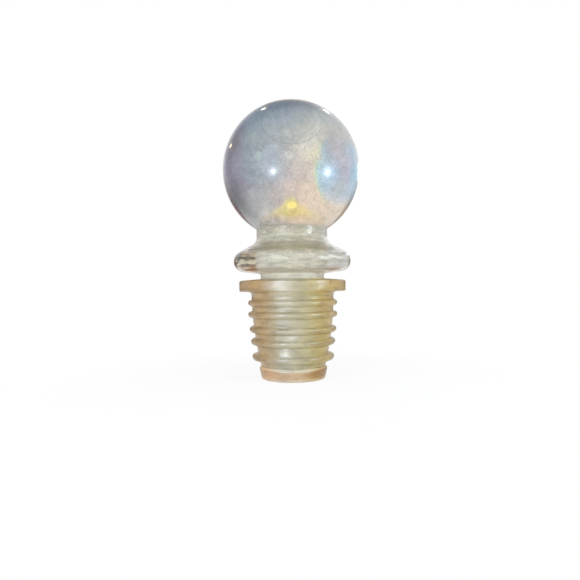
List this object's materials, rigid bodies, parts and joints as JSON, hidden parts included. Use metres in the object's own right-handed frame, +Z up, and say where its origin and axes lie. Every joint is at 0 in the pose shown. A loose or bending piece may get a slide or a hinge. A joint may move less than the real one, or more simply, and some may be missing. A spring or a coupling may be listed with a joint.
{
  "type": "glass bottle stopper",
  "caption": "Ball-topped glass bottle stopper: a pressed knob with a round collar and tapered stem, seated in a soft ribbed sleeve that seals a bottle's neck.",
  "frame": {"origin": "centre of the sleeve's flat foot, on the axis", "axes": "+Z up the axis of both turned pieces, from the foot to the ball"},
  "size_m": [0.03, 0.03, 0.0606],
  "materials": {
    "glass": "clear, faintly opalescent, fire polished",
    "sleeve": "translucent soft moulding, satin"
  },
  "bodies": {
    "root": {"glass_knob": "glass", "ribbed_sleeve": "sleeve"}
  },
  "joints": []
}
